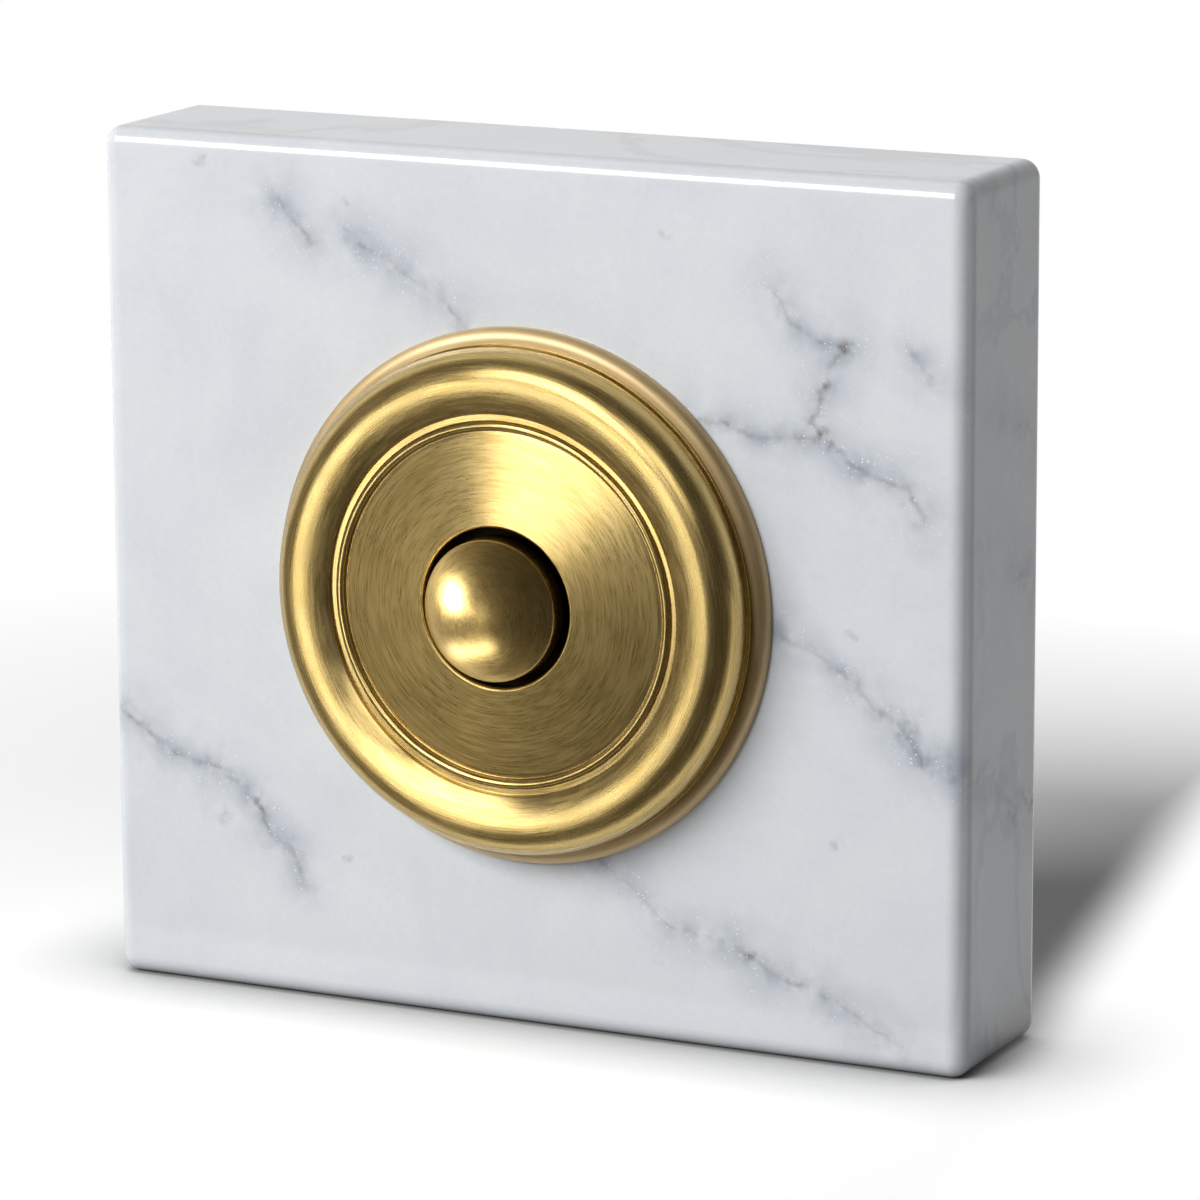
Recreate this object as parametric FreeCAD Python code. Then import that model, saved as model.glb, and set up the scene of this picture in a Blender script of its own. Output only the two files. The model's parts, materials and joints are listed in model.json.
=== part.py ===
import FreeCAD, Part
import math
import os
from FreeCAD import Vector

# Doorbell push: a turned brass rose with a domed button, on a slab of marble.
# The origin is the centre of the slab's back face, on the button's axis. +Z is up and
# the front faces -Y. A height is measured from the slab's front face, out of the marble,
# so what lies inside the slab has a negative height.

# Marble slab
plate_width = 100.0
plate_height = 93.0
plate_thickness = 20.0
plate_edge_radius = 2.0
wire_bore_radius = 6.0
wire_bore_length = 7.0

# Fixing screws: two for the wall, left and right, and two for the ring, above and below
wall_hole_radius = 2.5
wall_screw_hole_radius = 2.0
wall_screw_sink_radius = 3.4
ring_screw_radius = 1.5
ring_screw_head_radius = 2.8
ring_screw_length = 9.0
screw_clearance = 0.1
thread_play = 0.05
insert_radius = 2.4
insert_length = 8.0
glue_line = 0.1

# Base ring and the threaded collar that carries the cover
flange_radius = 28.5
flange_thickness = 1.6
flange_rim_land = 0.35
flange_rim_radius = 1.25
collar_wall = 1.15
collar_height = 2.1
collar_chamfer = 0.25
thread_clearance = 0.25

# Rose cover, from its foot to the hole for the button
flange_show = 1.55
foot_height = 0.4
foot_step = 0.15
seat_gap = 0.05
torus_section_radius = 2.9
torus_centre_rise = 1.8
slope_radius = 8.3
slope_width = 3.75
quirk_depth = 0.45
quirk_width = 0.7
bead_section_radius = 0.5
disc_drop = 0.1
disc_rise = 1.75
hole_radius = 8.5
hole_edge_radius = 0.25
cover_wall = 1.4

# Push button and the boss inside the cover that guides it
button_gap = 1.0
button_catch = 0.8
button_edge_radius = 0.35
button_flange_thickness = 1.15
button_edge_rise = 1.2
dome_radius = 12.0
button_travel = 2.0
guide_clearance = 0.1
boss_wall = 1.2
boss_clearance = 0.4
stem_radius = 1.9
tip_spigot_radius = 1.1
tip_spigot_length = 3.0
tip_length = 2.0
tip_chamfer = 0.3
spigot_clearance = 0.05

# Retaining ring in a groove of the boss
retainer_thickness = 0.6
retainer_width = 1.6
retainer_play = 0.05
retainer_groove_depth = 0.55
retainer_gap_width = 6.0
retainer_lug_radius = 1.3
retainer_lug_hole_radius = 0.55
boss_end_land = 0.5

# Return spring on its bridge
spring_length = 6.0
spring_radius = 2.6
spring_wire_radius = 0.25
spring_turns = 6
spring_seat_gap = 0.03
bridge_thickness = 0.6
bridge_width = 6.0
bridge_bend_radius = 0.75
bridge_leg_offset = 5.6
bridge_foot_margin = 0.8
stem_clearance = 0.3
bridge_screw_radius = 1.0
bridge_screw_head_radius = 1.45
bridge_screw_head_height = 1.1

# Contact block and what it carries
block_seat_width = 0.85
block_wall = 1.35
block_clearance = 0.15
block_skin = 1.5
wire_hole_radius = 1.3
wire_hole_offset = 4.0
tip_gap = 0.1
leaf_thickness = 0.35
leaf_overhang = 3.4
leaf_bend_radius = 0.7
leaf_bend_margin = 0.8
leaf_rise_run = 0.9
contact_width = 4.5
strip_thickness = 0.5
pip_radius = 1.1
pip_depth = 0.45
rivet_head_radius = 1.2
rivet_head_height = 0.6
rivet_edge_radius = 0.3
rivet_tail_radius = 0.8
rivet_tail_length = 1.2
washer_radius = 2.0
washer_thickness = 0.5
terminal_screw_radius = 1.25
terminal_head_radius = 1.75
terminal_head_height = 1.5
terminal_margin = 1.2
screw_head_edge_radius = 0.4
slot_width = 0.6
slot_depth_share = 0.5

# Radii that follow from the pieces they fit
button_radius = hole_radius - button_gap
button_flange_radius = hole_radius + button_catch
boss_bore_radius = button_flange_radius + guide_clearance
boss_radius = boss_bore_radius + boss_wall
ring_bore_radius = boss_radius + boss_clearance
block_radius = ring_bore_radius + block_seat_width
block_inner_radius = block_radius - block_wall
chamber_radius = block_radius + block_clearance
foot_radius = flange_radius - flange_show
torus_centre_radius = foot_radius - foot_step - torus_section_radius
thread_bore_radius = torus_centre_radius + torus_section_radius - cover_wall
collar_radius = thread_bore_radius - thread_clearance
collar_bore_radius = collar_radius - collar_wall
fixing_circle_radius = (ring_bore_radius + collar_bore_radius) / 2
quirk_radius = torus_centre_radius - slope_width
bead_circle_radius = quirk_radius - quirk_width - bead_section_radius
disc_edge_radius = bead_circle_radius - bead_section_radius - disc_drop
terminal_offset = block_inner_radius - terminal_margin - washer_radius
bridge_foot_end = block_inner_radius - bridge_foot_margin
bridge_foot_start = bridge_leg_offset + bridge_bend_radius
bridge_screw_offset = (bridge_foot_start + bridge_foot_end) / 2

# Heights of the cover, from its foot up
foot_base_height = flange_thickness + seat_gap
foot_top_height = foot_base_height + foot_height
torus_centre_height = flange_thickness + torus_centre_rise
torus_crest_height = torus_centre_height + torus_section_radius
slope_drop = slope_radius - math.sqrt(slope_radius**2 - slope_width**2)
quirk_top_height = torus_crest_height - slope_drop
quirk_floor_height = quirk_top_height - quirk_depth
disc_edge_height = quirk_floor_height - disc_drop
hole_height = disc_edge_height + disc_rise
lip_height = hole_height - cover_wall

# Heights of the button and of the pieces that it works, from the lip down
button_flange_top = lip_height - seat_gap
button_flange_base = button_flange_top - button_flange_thickness
button_edge_height = hole_height + button_edge_rise
retainer_top = button_flange_base - button_travel - boss_end_land
retainer_base = retainer_top - retainer_thickness
boss_end_height = retainer_base - retainer_play - boss_end_land
bridge_top = button_flange_base - spring_length
bridge_base = bridge_top - bridge_thickness
stem_end_height = bridge_top + tip_gap
tip_end_height = stem_end_height - tip_length
leaf_top = tip_end_height - tip_gap
pip_end_height = leaf_top - leaf_thickness - pip_depth
rivet_top = pip_end_height - (button_travel - tip_gap)
strip_top = rivet_top - rivet_head_height
block_floor_height = strip_top - strip_thickness
chamber_depth = plate_thickness - wire_bore_length

same_point = 1e-9
across_x = Vector(1, 0, 0)
outward = Vector(0, -1, 0)
across_z = Vector(0, 0, 1)


def at(x, height, z=0.0):
    """A point given by its height in front of the marble."""
    return Vector(x, -(plate_thickness + height), z)


def swing(centre, radius, first_angle, last_angle):
    """The middle and last point of an arc in a section, as (radius, height) pairs.

    Angles are in degrees, from the radial direction towards the front.
    """
    points = []
    for angle in ((first_angle + last_angle) / 2, last_angle):
        turn = math.radians(angle)
        points.append((centre[0] + radius * math.cos(turn), centre[1] + radius * math.sin(turn)))
    return points


def turned(start, steps, axis_x=0.0, axis_z=0.0):
    """A solid turned about an axis out of the plate, from its closed section.

    Points are (radius, height) pairs. A step is a point at the end of a line, or the
    middle and last point of an arc.
    """
    edges = []
    here = at(*start)
    for step in list(steps) + [start]:
        if isinstance(step, list):
            middle, last = at(*step[0]), at(*step[1])
            edges.append(Part.Arc(here, middle, last).toShape())
        else:
            last = at(*step)
            if last.distanceToPoint(here) < same_point:
                continue
            edges.append(Part.LineSegment(here, last).toShape())
        here = last
    section = Part.Face(Part.Wire(edges))
    solid = section.revolve(Vector(0, 0, 0), outward, 360)
    solid.translate(Vector(axis_x, 0, axis_z))
    return solid


def drill(radius, top, base, x=0.0, z=0.0):
    """A round bar between two heights, to cut a hole or to add a pin."""
    return Part.makeCylinder(radius, top - base, at(x, base, z), outward)


def countersink(sink_radius, hole_radius_below, top, x=0.0, z=0.0):
    """A 90 degree cone that widens a hole towards the front."""
    depth = sink_radius - hole_radius_below
    return Part.makeCone(hole_radius_below, sink_radius, depth, at(x, top - depth, z), outward)


def bent_path(corners, radius):
    """Straight runs joined by tangent arcs of one radius."""
    edges = []
    start = corners[0]
    for before, corner, after in zip(corners, corners[1:], corners[2:]):
        back = (before - corner).normalize()
        onward = (after - corner).normalize()
        half_angle = back.getAngle(onward) / 2
        reach = radius / math.tan(half_angle)
        bisector = (back + onward).normalize()
        middle = corner + bisector * (radius / math.sin(half_angle) - radius)
        first, last = corner + back * reach, corner + onward * reach
        edges.append(Part.LineSegment(start, first).toShape())
        edges.append(Part.Arc(first, middle, last).toShape())
        start = last
    edges.append(Part.LineSegment(start, corners[-1]).toShape())
    return Part.Wire(edges)


def bent_strip(corners, bend_radius, width, thickness, across):
    """Sheet metal of one width, bent along a path; across is the direction of its width."""
    along = (corners[1] - corners[0]).normalize()
    side = across * (width / 2)
    face = across.cross(along) * (thickness / 2)
    first = corners[0]
    ends = [first + side + face, first + side - face, first - side - face, first - side + face]
    section = Part.makePolygon(ends + ends[:1])
    return bent_path(corners, bend_radius).makePipeShell([section], True, False)


def slot(screw_x, screw_z, top, depth, length):
    """The driver's slot across a screw head."""
    corner = at(screw_x - length / 2, top, screw_z - slot_width / 2)
    return Part.makeBox(length, depth, slot_width, corner)


def cheese_screw(radius, head_radius, head_height, under_head, end, x, z):
    """A slotted screw with a low head, rounded at its edge."""
    head_top = under_head + head_height
    edge_centre = (head_radius - screw_head_edge_radius, head_top - screw_head_edge_radius)
    steps = [
        (head_radius, under_head),
        (head_radius, edge_centre[1]),
        swing(edge_centre, screw_head_edge_radius, 0, 90),
        (0, head_top),
        (0, end),
        (radius, end),
    ]
    screw = turned((radius, under_head), steps, x, z)
    depth = head_height * slot_depth_share
    return screw.cut(slot(x, z, head_top, depth, 2 * head_radius))


def make_marble_plate():
    corner = Vector(-plate_width / 2, -plate_thickness, -plate_height / 2)
    slab = Part.makeBox(plate_width, plate_thickness, plate_height, corner)
    slab = slab.makeFillet(plate_edge_radius, slab.Edges)
    holes = [
        drill(chamber_radius, 0, -chamber_depth),
        drill(wire_bore_radius, 0, -plate_thickness),
    ]
    for side in (-1, 1):
        offset = side * fixing_circle_radius
        holes.append(drill(wall_hole_radius, 0, -plate_thickness, x=offset))
        holes.append(drill(insert_radius + glue_line, 0, -insert_length - glue_line, z=offset))
    return slab.cut(holes)


def make_base_ring():
    collar_top = flange_thickness + collar_height
    rim_centre = (flange_radius - flange_rim_radius, flange_rim_land)
    ring = turned(
        (ring_bore_radius, 0),
        [
            (flange_radius, 0),
            (flange_radius, flange_rim_land),
            swing(rim_centre, flange_thickness - flange_rim_land, 0, 90),
            (collar_radius, flange_thickness),
            (collar_radius, collar_top - collar_chamfer),
            (collar_radius - collar_chamfer, collar_top),
            (collar_bore_radius, collar_top),
            (collar_bore_radius, flange_thickness),
            (ring_bore_radius, flange_thickness),
        ],
    )
    holes = []
    for side in (-1, 1):
        offset = side * fixing_circle_radius
        holes.append(drill(wall_screw_hole_radius, flange_thickness, 0, x=offset))
        holes.append(
            countersink(wall_screw_sink_radius, wall_screw_hole_radius, flange_thickness, x=offset)
        )
        clear_radius = ring_screw_radius + screw_clearance
        sink_radius = ring_screw_head_radius + screw_clearance
        holes.append(drill(clear_radius, flange_thickness, 0, z=offset))
        holes.append(countersink(sink_radius, clear_radius, flange_thickness, z=offset))
    return ring.cut(holes)


def make_ring_screw(side):
    z = side * fixing_circle_radius
    neck = flange_thickness - (ring_screw_head_radius - ring_screw_radius)
    end = flange_thickness - ring_screw_length
    screw = turned(
        (ring_screw_head_radius, flange_thickness),
        [(0, flange_thickness), (0, end), (ring_screw_radius, end), (ring_screw_radius, neck)],
        axis_z=z,
    )
    depth = (ring_screw_head_radius - ring_screw_radius) * slot_depth_share
    return screw.cut(slot(0, z, flange_thickness, depth, 2 * ring_screw_head_radius))


def make_insert(side):
    bore_radius = ring_screw_radius + thread_play
    corners = [(insert_radius, 0), (insert_radius, -insert_length), (bore_radius, -insert_length)]
    return turned((bore_radius, 0), corners, axis_z=side * fixing_circle_radius)


def make_contact_block():
    block = turned(
        (0, -chamber_depth),
        [
            (block_radius, -chamber_depth),
            (block_radius, 0),
            (block_inner_radius, 0),
            (block_inner_radius, block_floor_height),
            (0, block_floor_height),
        ],
    )
    holes = [drill(rivet_tail_radius, strip_top, strip_top - rivet_tail_length)]
    for side in (-1, 1):
        wire_z = side * wire_hole_offset
        holes.append(drill(wire_hole_radius, block_floor_height, -chamber_depth, z=wire_z))
        terminal_x = side * terminal_offset
        base = -chamber_depth + block_skin
        holes.append(drill(terminal_screw_radius, block_floor_height, base, x=terminal_x))
        screw_z = side * bridge_screw_offset
        holes.append(drill(bridge_screw_radius, block_floor_height, base, z=screw_z))
    return block.cut(holes)


def make_lower_contact():
    end_x = -(terminal_offset + washer_radius)
    corner = at(end_x, strip_top, -contact_width / 2)
    strip = Part.makeBox(-end_x, strip_thickness, contact_width, corner)
    strip = strip.fuse(drill(contact_width / 2, strip_top, block_floor_height)).removeSplitter()
    screw_hole = drill(terminal_screw_radius, strip_top, block_floor_height, x=-terminal_offset)
    rivet_hole = drill(rivet_tail_radius, strip_top, block_floor_height)
    return strip.cut([screw_hole, rivet_hole])


def make_contact_rivet():
    tail_end = strip_top - rivet_tail_length
    edge_centre = (rivet_head_radius - rivet_edge_radius, rivet_top - rivet_edge_radius)
    return turned(
        (0, tail_end),
        [
            (rivet_tail_radius, tail_end),
            (rivet_tail_radius, strip_top),
            (rivet_head_radius, strip_top),
            (rivet_head_radius, edge_centre[1]),
            swing(edge_centre, rivet_edge_radius, 0, 90),
            (0, rivet_top),
        ],
    )


def make_upper_contact():
    lie = block_floor_height + leaf_thickness / 2
    ride = leaf_top - leaf_thickness / 2
    foot_x = terminal_offset - washer_radius - leaf_bend_margin
    corners = [
        at(terminal_offset + washer_radius, lie),
        at(foot_x, lie),
        at(foot_x - leaf_rise_run, ride),
        at(-leaf_overhang, ride),
    ]
    leaf = bent_strip(corners, leaf_bend_radius, contact_width, leaf_thickness, across_z)
    ball_radius = (pip_radius**2 + pip_depth**2) / (2 * pip_depth)
    ball_centre = at(0, pip_end_height + ball_radius)
    under_leaf = drill(pip_radius, leaf_top - leaf_thickness, pip_end_height)
    pip = Part.makeSphere(ball_radius, ball_centre).common(under_leaf)
    hollow = Part.makeSphere(ball_radius - leaf_thickness, ball_centre)
    above_pip = drill(pip_radius, leaf_top, pip_end_height)
    screw_hole = drill(terminal_screw_radius, leaf_top, block_floor_height, x=terminal_offset)
    return leaf.fuse(pip).removeSplitter().cut([hollow.common(above_pip), screw_hole])


def make_terminal_washer(side, under_washer):
    top = under_washer + washer_thickness
    bore_radius = terminal_screw_radius + screw_clearance
    corners = [(washer_radius, under_washer), (washer_radius, top), (bore_radius, top)]
    return turned((bore_radius, under_washer), corners, axis_x=side * terminal_offset)


def make_terminal_screw(side, under_washer):
    return cheese_screw(
        terminal_screw_radius,
        terminal_head_radius,
        terminal_head_height,
        under_washer + washer_thickness,
        -chamber_depth + block_skin,
        side * terminal_offset,
        0,
    )


def make_spring_bridge():
    lie = block_floor_height + bridge_thickness / 2
    ride = bridge_top - bridge_thickness / 2
    corners = []
    for side in (-1, 1):
        leg = side * bridge_leg_offset
        end = side * bridge_foot_end
        steps = [at(0, lie, end), at(0, lie, leg), at(0, ride, leg)]
        corners += steps if side < 0 else steps[::-1]
    bridge = bent_strip(corners, bridge_bend_radius, bridge_width, bridge_thickness, across_x)
    holes = [drill(stem_radius + stem_clearance, bridge_top, bridge_base)]
    for side in (-1, 1):
        foot_top = block_floor_height + bridge_thickness
        screw_z = side * bridge_screw_offset
        holes.append(drill(bridge_screw_radius, foot_top, block_floor_height, z=screw_z))
    return bridge.cut(holes)


def make_bridge_screw(side):
    return cheese_screw(
        bridge_screw_radius,
        bridge_screw_head_radius,
        bridge_screw_head_height,
        block_floor_height + bridge_thickness,
        -chamber_depth + block_skin,
        0,
        side * bridge_screw_offset,
    )


def make_return_spring():
    """A coil of flat half turns, each tilted so that it climbs from one side to the other."""
    seat = spring_wire_radius + spring_seat_gap
    climb = (spring_length - 2 * seat) / (2 * spring_turns)
    arcs = []
    for half_turn in range(2 * spring_turns):
        side = 1 if half_turn % 2 == 0 else -1
        low_height = bridge_top + seat + half_turn * climb
        first = at(side * spring_radius, low_height)
        last = at(-side * spring_radius, low_height + climb)
        reach = across_z * (side * first.distanceToPoint(last) / 2)
        arcs.append(Part.Arc(first, (first + last) / 2 + reach, last).toShape())
    ring = Part.makeCircle(spring_wire_radius, at(spring_radius, bridge_top + seat), across_z)
    return Part.Wire(arcs).makePipeShell([Part.Wire(ring)], True, False)


def disc_height(radius):
    """Height of the cover's coned disc at a radius, between its edge and the hole."""
    share = (disc_edge_radius - radius) / (disc_edge_radius - hole_radius)
    return disc_edge_height + share * disc_rise


def make_rose_cover():
    torus_centre = (torus_centre_radius, torus_centre_height)
    foot_fall = foot_top_height - torus_centre_height
    foot_angle = math.degrees(math.asin(foot_fall / torus_section_radius))
    torus_foot_radius = torus_centre_radius + math.sqrt(torus_section_radius**2 - foot_fall**2)
    slope_centre = (torus_centre_radius, torus_crest_height - slope_radius)
    slope_angle = math.degrees(math.asin(slope_width / slope_radius))
    bead_centre = (bead_circle_radius, quirk_floor_height)
    rim_centre_radius = hole_radius + hole_edge_radius
    rim_height = disc_height(rim_centre_radius)
    groove_radius = boss_bore_radius + retainer_groove_depth
    return turned(
        (foot_radius, foot_base_height),
        [
            (foot_radius, foot_top_height),
            (torus_foot_radius, foot_top_height),
            swing(torus_centre, torus_section_radius, foot_angle, 90),
            swing(slope_centre, slope_radius, 90, 90 + slope_angle),
            (quirk_radius, quirk_floor_height),
            (bead_circle_radius + bead_section_radius, quirk_floor_height),
            swing(bead_centre, bead_section_radius, 0, 180),
            (disc_edge_radius, disc_edge_height),
            (rim_centre_radius, rim_height),
            swing((rim_centre_radius, rim_height - hole_edge_radius), hole_edge_radius, 90, 180),
            (hole_radius, lip_height),
            (boss_bore_radius, lip_height),
            (boss_bore_radius, retainer_top + retainer_play),
            (groove_radius, retainer_top + retainer_play),
            (groove_radius, retainer_base - retainer_play),
            (boss_bore_radius, retainer_base - retainer_play),
            (boss_bore_radius, boss_end_height),
            (boss_radius, boss_end_height),
            (boss_radius, disc_height(boss_radius) - cover_wall),
            (disc_edge_radius, disc_edge_height - cover_wall),
            (quirk_radius, quirk_top_height - cover_wall),
            (torus_centre_radius, torus_crest_height - cover_wall),
            swing(torus_centre, torus_section_radius - cover_wall, 90, 0),
            (thread_bore_radius, foot_base_height),
        ],
    )


def make_retaining_ring():
    outer_radius = boss_bore_radius + retainer_groove_depth - retainer_play
    inner_radius = outer_radius - retainer_width
    ring = drill(outer_radius, retainer_top, retainer_base)
    ring = ring.cut(drill(inner_radius, retainer_top, retainer_base))
    gap_corner = at(-retainer_gap_width / 2, retainer_top, -outer_radius)
    ring = ring.cut(Part.makeBox(retainer_gap_width, retainer_thickness, outer_radius, gap_corner))
    for side in (-1, 1):
        lug_x = side * (retainer_gap_width / 2 + retainer_lug_radius)
        lug_z = -math.sqrt(inner_radius**2 - lug_x**2)
        ring = ring.fuse(drill(retainer_lug_radius, retainer_top, retainer_base, lug_x, lug_z))
        ring = ring.cut(drill(retainer_lug_hole_radius, retainer_top, retainer_base, lug_x, lug_z))
    return ring.removeSplitter()


def make_push_button():
    edge_centre = (button_radius - button_edge_radius, button_edge_height)
    reach = dome_radius - button_edge_radius
    dome_drop = math.sqrt(reach**2 - edge_centre[0] ** 2)
    dome_centre = (0, button_edge_height - dome_drop)
    meeting_angle = math.degrees(math.asin(dome_drop / reach))
    spigot_bore_radius = tip_spigot_radius + spigot_clearance
    return turned(
        (0, dome_centre[1] + dome_radius),
        [
            swing(dome_centre, dome_radius, 90, meeting_angle),
            swing(edge_centre, button_edge_radius, meeting_angle, 0),
            (button_radius, button_flange_top),
            (button_flange_radius, button_flange_top),
            (button_flange_radius, button_flange_base),
            (stem_radius, button_flange_base),
            (stem_radius, stem_end_height),
            (spigot_bore_radius, stem_end_height),
            (spigot_bore_radius, stem_end_height + tip_spigot_length + spigot_clearance),
            (0, stem_end_height + tip_spigot_length + spigot_clearance),
        ],
    )


def make_plunger_tip():
    return turned(
        (0, tip_end_height),
        [
            (stem_radius - tip_chamfer, tip_end_height),
            (stem_radius, tip_end_height + tip_chamfer),
            (stem_radius, stem_end_height),
            (tip_spigot_radius, stem_end_height),
            (tip_spigot_radius, stem_end_height + tip_spigot_length),
            (0, stem_end_height + tip_spigot_length),
        ],
    )


def make_pieces():
    """Every piece of the push by name, each as one solid."""
    leaf_on_block = block_floor_height + leaf_thickness
    return {
        "marble_plate": make_marble_plate(),
        "base_ring": make_base_ring(),
        "ring_screw_upper": make_ring_screw(1),
        "ring_screw_lower": make_ring_screw(-1),
        "insert_upper": make_insert(1),
        "insert_lower": make_insert(-1),
        "contact_block": make_contact_block(),
        "lower_contact": make_lower_contact(),
        "contact_rivet": make_contact_rivet(),
        "upper_contact": make_upper_contact(),
        "terminal_washer_left": make_terminal_washer(-1, strip_top),
        "terminal_washer_right": make_terminal_washer(1, leaf_on_block),
        "terminal_screw_left": make_terminal_screw(-1, strip_top),
        "terminal_screw_right": make_terminal_screw(1, leaf_on_block),
        "spring_bridge": make_spring_bridge(),
        "bridge_screw_upper": make_bridge_screw(1),
        "bridge_screw_lower": make_bridge_screw(-1),
        "return_spring": make_return_spring(),
        "rose_cover": make_rose_cover(),
        "retaining_ring": make_retaining_ring(),
        "push_button": make_push_button(),
        "plunger_tip": make_plunger_tip(),
    }


os.makedirs("parts", exist_ok=True)
for name, shape in make_pieces().items():
    shape.exportStep(f"parts/{name}.step")
    print(f"{name}: {len(shape.Solids)} solid, {shape.Volume:.1f} mm3, valid {shape.isValid()}")
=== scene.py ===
import json
import math

import bmesh
import bpy
import numpy as np
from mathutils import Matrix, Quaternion, Vector

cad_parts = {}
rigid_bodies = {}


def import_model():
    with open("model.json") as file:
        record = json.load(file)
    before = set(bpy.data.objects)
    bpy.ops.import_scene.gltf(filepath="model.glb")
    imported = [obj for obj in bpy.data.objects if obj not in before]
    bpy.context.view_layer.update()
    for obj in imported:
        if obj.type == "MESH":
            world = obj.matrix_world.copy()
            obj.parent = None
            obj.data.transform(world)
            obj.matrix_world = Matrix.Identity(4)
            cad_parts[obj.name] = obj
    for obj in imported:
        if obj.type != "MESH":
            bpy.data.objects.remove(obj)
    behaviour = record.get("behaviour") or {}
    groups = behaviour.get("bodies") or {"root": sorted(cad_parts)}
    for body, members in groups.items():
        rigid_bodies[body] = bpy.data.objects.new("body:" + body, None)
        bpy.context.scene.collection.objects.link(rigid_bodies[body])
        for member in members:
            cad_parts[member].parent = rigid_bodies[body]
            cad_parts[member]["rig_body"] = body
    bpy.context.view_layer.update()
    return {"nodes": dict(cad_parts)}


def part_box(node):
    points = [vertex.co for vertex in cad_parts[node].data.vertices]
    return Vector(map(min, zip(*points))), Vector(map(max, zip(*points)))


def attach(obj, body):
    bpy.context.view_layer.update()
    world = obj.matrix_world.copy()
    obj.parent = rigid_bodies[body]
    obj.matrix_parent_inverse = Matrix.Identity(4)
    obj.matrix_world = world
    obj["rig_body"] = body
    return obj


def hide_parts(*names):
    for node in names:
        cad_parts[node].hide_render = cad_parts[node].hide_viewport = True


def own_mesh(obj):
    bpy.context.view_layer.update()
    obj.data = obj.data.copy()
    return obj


# A doorbell push of turned brass on a slab of Carrara marble.
# Lengths are in millimetres in every dictionary. A height is measured from the slab's front
# face, out of the marble, as in the part's own drawing.

mm = 0.001
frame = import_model()
slabLow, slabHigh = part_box("marble_plate")
frontFace = slabLow.y / mm
print("frame loaded, front of the slab at", round(frontFace, 3), "mm")


# Surfaces and meshes

def place(radius, height, angle):
    # cylinder coordinates about the button's axis: x = r cos a, z = r sin a, y runs against the height
    radius, height, angle = np.broadcast_arrays(radius, height, angle)
    return np.stack([radius * np.cos(angle), frontFace - height, radius * np.sin(angle)], -1)


def gridFaces(rows, columns, wrapRows, wrapColumns):
    # each cell of the grid joins its four corners, and a wrapped side comes back to the first line
    i = np.arange(rows if wrapRows else rows - 1)
    j = np.arange(columns if wrapColumns else columns - 1)
    i, j = np.meshgrid(i, j, indexing="ij")
    nextI, nextJ = (i + 1) % rows, (j + 1) % columns
    corners = [i * columns + j, nextI * columns + j, nextI * columns + nextJ, i * columns + nextJ]
    return np.stack(corners, -1).reshape(-1, 4)


def makePiece(name, surfaces, sharpAngle=38):
    # surfaces are (points, wrapRows, wrapColumns), welded where they meet
    points, faces, count = [], [], 0
    for grid, wrapRows, wrapColumns in surfaces:
        faces.append(gridFaces(grid.shape[0], grid.shape[1], wrapRows, wrapColumns) + count)
        points.append(grid.reshape(-1, 3) * mm)
        count += grid.shape[0] * grid.shape[1]
    mesh = bpy.data.meshes.new(name)
    mesh.from_pydata(np.concatenate(points), [], np.concatenate(faces))
    return finishPiece(name, mesh, sharpAngle)


def finishPiece(name, mesh, sharpAngle):
    shaped = bmesh.new()
    shaped.from_mesh(mesh)
    bmesh.ops.remove_doubles(shaped, verts=shaped.verts, dist=2e-7)
    bmesh.ops.dissolve_degenerate(shaped, edges=shaped.edges, dist=1e-8)
    bmesh.ops.recalc_face_normals(shaped, faces=shaped.faces)
    shaped.to_mesh(mesh)
    shaped.free()
    mesh.polygons.foreach_set("use_smooth", np.ones(len(mesh.polygons), bool))
    mesh.set_sharp_from_angle(angle=math.radians(sharpAngle))
    piece = bpy.data.objects.new(name, mesh)
    bpy.context.scene.collection.objects.link(piece)
    return piece


def dress(piece, material, node, body):
    # the piece takes its finish, stands for its solid and moves with its body
    piece.data.materials.clear()
    piece.data.materials.append(material)
    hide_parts(node)
    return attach(piece, body)


def arc(centre, radius, first, last, count=12):
    # centre plus radius times (cos, sin) of evenly spaced angles in degrees
    turn = np.radians(np.linspace(first, last, count))
    return np.column_stack([centre[0] + radius * np.cos(turn), centre[1] + radius * np.sin(turn)])


def easedOutline(parts, ease=0.06, sharpTurn=16, steps=4):
    # a closed outline whose sharp corners become small curves: (1-t)^2 A + 2t(1-t) corner + t^2 B
    points = np.concatenate([np.atleast_2d(p) for p in parts])
    points = points[np.linalg.norm(points - np.roll(points, 1, 0), axis=1) > 1e-6]
    onAxis = points[:, 0] < 1e-6
    t = np.linspace(0, 1, steps + 1)[:, None]
    out = []
    for k, corner in enumerate(points):
        before, after = points[k - 1], points[(k + 1) % len(points)]
        back, onward = before - corner, after - corner
        reach = min(ease, 0.4 * np.linalg.norm(back), 0.4 * np.linalg.norm(onward))
        back, onward = back / np.linalg.norm(back), onward / np.linalg.norm(onward)
        turn = math.degrees(math.acos(np.clip(-back @ onward, -1, 1)))
        if turn < sharpTurn or onAxis[k]:
            out.append(corner[None])
            continue
        first, last = corner + back * reach, corner + onward * reach
        out.append((1 - t) ** 2 * first + 2 * t * (1 - t) * corner + t ** 2 * last)
    return np.concatenate(out)


def heldOutline(points, step=0.6, hold=0.025):
    # long straight runs get points near their ends, which keep the shading of a flat flat
    out = []
    for here, there in zip(points, np.roll(points, -1, 0)):
        out.append(here[None])
        length = np.linalg.norm(there - here)
        if length > 0.25:
            inner = np.linspace(hold, length - hold, max(2, int(length / step) + 2)) / length
            out.append(here + inner[:, None] * (there - here))
    return np.concatenate(out)


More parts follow.
